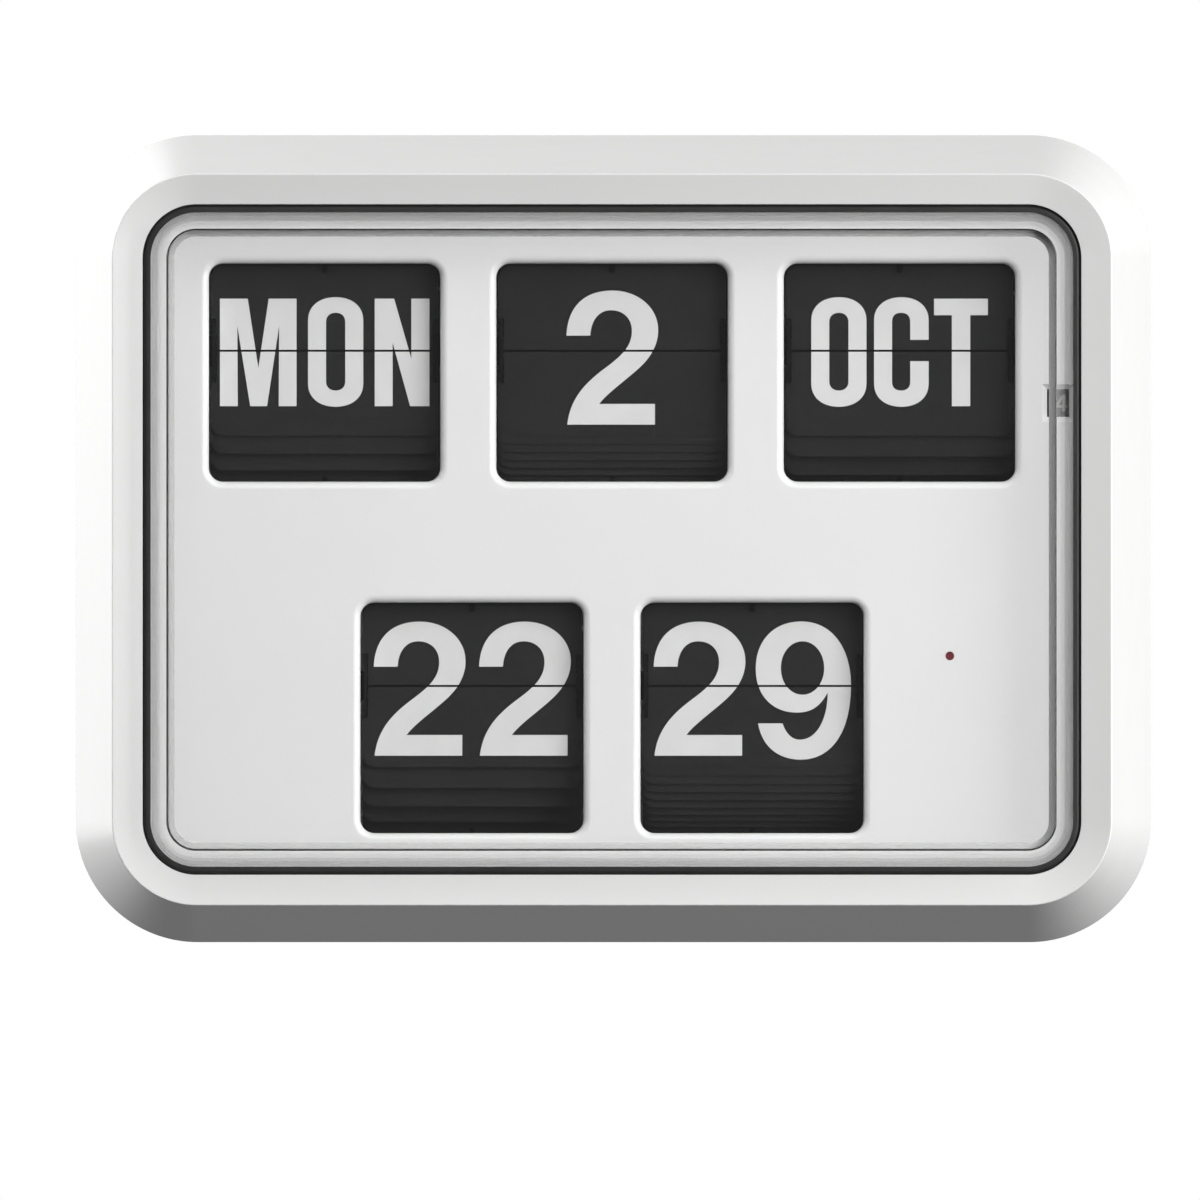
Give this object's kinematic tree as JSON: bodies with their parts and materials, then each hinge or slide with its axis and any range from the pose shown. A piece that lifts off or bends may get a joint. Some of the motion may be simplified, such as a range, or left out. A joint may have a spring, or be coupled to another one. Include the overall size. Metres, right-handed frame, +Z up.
{
  "type": "calendar flip clock",
  "caption": "Wall clock with a drafted case, raised clear cover and split-leaf displays for weekday, date, month, hours and minutes.",
  "frame": {"origin": "midway between the entries of the two hanging holes, on the wall plane", "axes": "+Z up, -Y out of the dial towards the reader, +X to the reader's right"},
  "size_m": [0.365, 0.1048, 0.274],
  "materials": {
    "case_white": "gloss",
    "back_white": "satin",
    "dial_white": "satin",
    "clear_cover": "clear gloss",
    "gasket_black": "satin",
    "leaf_black": "matte",
    "drum_grey": "matte",
    "gear_white": "satin",
    "movement_grey": "matte",
    "board_green": "satin",
    "signal_red": "matte",
    "cell_jacket": "satin",
    "bracket_steel": "zinc plated",
    "bright_steel": "bright",
    "spring_steel": "nickel plated",
    "spring_dark": "matte black",
    "brass": "satin"
  },
  "bodies": {
    "case": {"front_case": "case_white", "rear_cover": "back_white", "crystal": "clear_cover", "crystal_gasket": "gasket_black", "window_plate": "dial_white", "battery_cell": "cell_jacket", "battery_contacts": "spring_steel", "movement_case": "movement_grey", "drive_motor": "bright_steel", "circuit_board": "board_green", "leap_arbor": "bright_steel", "upper_axle": "bright_steel", "lower_axle": "bright_steel", "axle_clips": "bright_steel", "upper_brackets": "bracket_steel", "lower_brackets": "bracket_steel", "setting_arbors": "bright_steel", "top_fingers": "spring_dark", "lower_fingers": "spring_dark", "rear_cover_screws": "bright_steel", "plate_screws": "bright_steel", "bracket_screws": "bright_steel", "movement_screws": "bright_steel"},
    "weekday_drum": {"weekday_drum": "drum_grey", "weekday_gear": "gear_white", "weekday_leaves": "leaf_black"},
    "weekday_leaf": {"weekday_falling_leaf": "leaf_black"},
    "date_drum": {"date_drum": "drum_grey", "date_gear": "gear_white", "date_leaves": "leaf_black"},
    "date_leaf": {"date_falling_leaf": "leaf_black"},
    "month_drum": {"month_drum": "drum_grey", "month_gear": "gear_white", "month_leaves": "leaf_black"},
    "month_leaf": {"month_falling_leaf": "leaf_black"},
    "hour_drum": {"hour_drum": "drum_grey", "hour_gear": "gear_white", "hour_leaves": "leaf_black"},
    "hour_leaf": {"hour_falling_leaf": "leaf_black"},
    "minute_drum": {"minute_drum": "drum_grey", "minute_gear": "gear_white", "minute_leaves": "leaf_black", "carry_cam": "gear_white"},
    "minute_leaf": {"minute_falling_leaf": "leaf_black"},
    "weekday_setting_wheel": {"weekday_setting_wheel": "gear_white"},
    "date_setting_wheel": {"date_setting_wheel": "gear_white"},
    "month_setting_wheel": {"month_setting_wheel": "gear_white"},
    "time_setting_wheel": {"time_setting_wheel": "gear_white"},
    "drive_pinion": {"drive_pinion": "brass"},
    "carry_pinion": {"carry_pinion": "gear_white"},
    "run_disc": {"run_disc": "signal_red"},
    "leap_wheel": {"leap_wheel": "leaf_black"},
    "battery_door": {"battery_door": "back_white"}
  },
  "joints": [
    {"name": "weekday_drum_turn", "type": "hinge", "parent": "case", "child": "weekday_drum", "pos_m": [-0.0975, -0.04444, -0.048], "axis": [1, 0, 0], "range_deg": [0, 12.86]},
    {"name": "weekday_leaf_fall", "type": "hinge", "parent": "weekday_drum", "child": "weekday_leaf", "pos_m": [-0.0975, -0.07227, -0.04487], "axis": [1, 0, 0], "range_deg": [0, 167.14], "deforming": ["top_fingers"]},
    {"name": "date_drum_turn", "type": "hinge", "parent": "case", "child": "date_drum", "pos_m": [0, -0.04444, -0.048], "axis": [1, 0, 0], "range_deg": [0, 5.81]},
    {"name": "date_leaf_fall", "type": "hinge", "parent": "date_drum", "child": "date_leaf", "pos_m": [0, -0.07241, -0.04658], "axis": [1, 0, 0], "range_deg": [0, 174.19], "deforming": ["top_fingers"]},
    {"name": "month_drum_turn", "type": "hinge", "parent": "case", "child": "month_drum", "pos_m": [0.0975, -0.04444, -0.048], "axis": [1, 0, 0], "range_deg": [0, 15]},
    {"name": "month_leaf_fall", "type": "hinge", "parent": "month_drum", "child": "month_leaf", "pos_m": [0.0975, -0.0722, -0.04435], "axis": [1, 0, 0], "range_deg": [0, 165], "deforming": ["top_fingers"]},
    {"name": "hour_drum_turn", "type": "hinge", "parent": "case", "child": "hour_drum", "pos_m": [-0.0475, -0.04444, -0.1617], "axis": [1, 0, 0], "range_deg": [0, 15]},
    {"name": "hour_leaf_fall", "type": "hinge", "parent": "hour_drum", "child": "hour_leaf", "pos_m": [-0.0475, -0.0722, -0.15805], "axis": [1, 0, 0], "range_deg": [0, 165], "deforming": ["top_fingers"]},
    {"name": "minute_drum_turn", "type": "hinge", "parent": "case", "child": "minute_drum", "pos_m": [0.0475, -0.04444, -0.1617], "axis": [1, 0, 0], "range_deg": [0, 6]},
    {"name": "minute_leaf_fall", "type": "hinge", "parent": "minute_drum", "child": "minute_leaf", "pos_m": [0.0475, -0.0724, -0.16023], "axis": [1, 0, 0], "range_deg": [0, 174], "deforming": ["top_fingers"]},
    {"name": "weekday_setting_wheel_turn", "type": "hinge", "parent": "case", "child": "weekday_setting_wheel", "pos_m": [-0.05535, -0.01324, -0.048], "axis": [1, 0, 0], "range_deg": [-20.57, 0]},
    {"name": "date_setting_wheel_turn", "type": "hinge", "parent": "case", "child": "date_setting_wheel", "pos_m": [0.04215, -0.01324, -0.048], "axis": [1, 0, 0], "range_deg": [-9.29, 0]},
    {"name": "month_setting_wheel_turn", "type": "hinge", "parent": "case", "child": "month_setting_wheel", "pos_m": [0.13965, -0.01324, -0.048], "axis": [1, 0, 0], "range_deg": [-24, 0]},
    {"name": "time_setting_wheel_turn", "type": "hinge", "parent": "case", "child": "time_setting_wheel", "pos_m": [0.08825, -0.01324, -0.1617], "axis": [1, 0, 0], "range_deg": [-9.6, 0]},
    {"name": "drive_pinion_turn", "type": "hinge", "parent": "case", "child": "drive_pinion", "pos_m": [0.08535, -0.04444, -0.1353], "axis": [1, 0, 0], "range_deg": [-16, 0]},
    {"name": "carry_pinion_turn", "type": "hinge", "parent": "case", "child": "carry_pinion", "pos_m": [-0.00965, -0.01804, -0.1617], "axis": [1, 0, 0], "range_deg": [-40, 0]},
    {"name": "run_disc_turn", "type": "hinge", "parent": "case", "child": "run_disc", "pos_m": [0.1146, -0.07194, -0.157], "axis": [0, -1, 0], "continuous": true},
    {"name": "leap_wheel_turn", "type": "hinge", "parent": "case", "child": "leap_wheel", "pos_m": [0.15015, -0.06844, -0.0657], "axis": [1, 0, 0], "continuous": true},
    {"name": "battery_door_lift", "type": "slide", "parent": "case", "child": "battery_door", "axis": [0, 1, 0], "range_m": [0, 0.03]}
  ],
  "couplings": [
    {"joint": "weekday_leaf_fall", "follows": "weekday_drum_turn", "ratio": 13},
    {"joint": "date_leaf_fall", "follows": "date_drum_turn", "ratio": 30},
    {"joint": "month_leaf_fall", "follows": "month_drum_turn", "ratio": 11},
    {"joint": "hour_leaf_fall", "follows": "hour_drum_turn", "ratio": 11},
    {"joint": "minute_leaf_fall", "follows": "minute_drum_turn", "ratio": 29},
    {"joint": "weekday_setting_wheel_turn", "follows": "weekday_drum_turn", "ratio": -1.6},
    {"joint": "date_setting_wheel_turn", "follows": "date_drum_turn", "ratio": -1.6},
    {"joint": "month_setting_wheel_turn", "follows": "month_drum_turn", "ratio": -1.6},
    {"joint": "time_setting_wheel_turn", "follows": "minute_drum_turn", "ratio": -1.6},
    {"joint": "drive_pinion_turn", "follows": "minute_drum_turn", "ratio": -2.6667},
    {"joint": "carry_pinion_turn", "follows": "hour_drum_turn", "ratio": -2.6667}
  ]
}
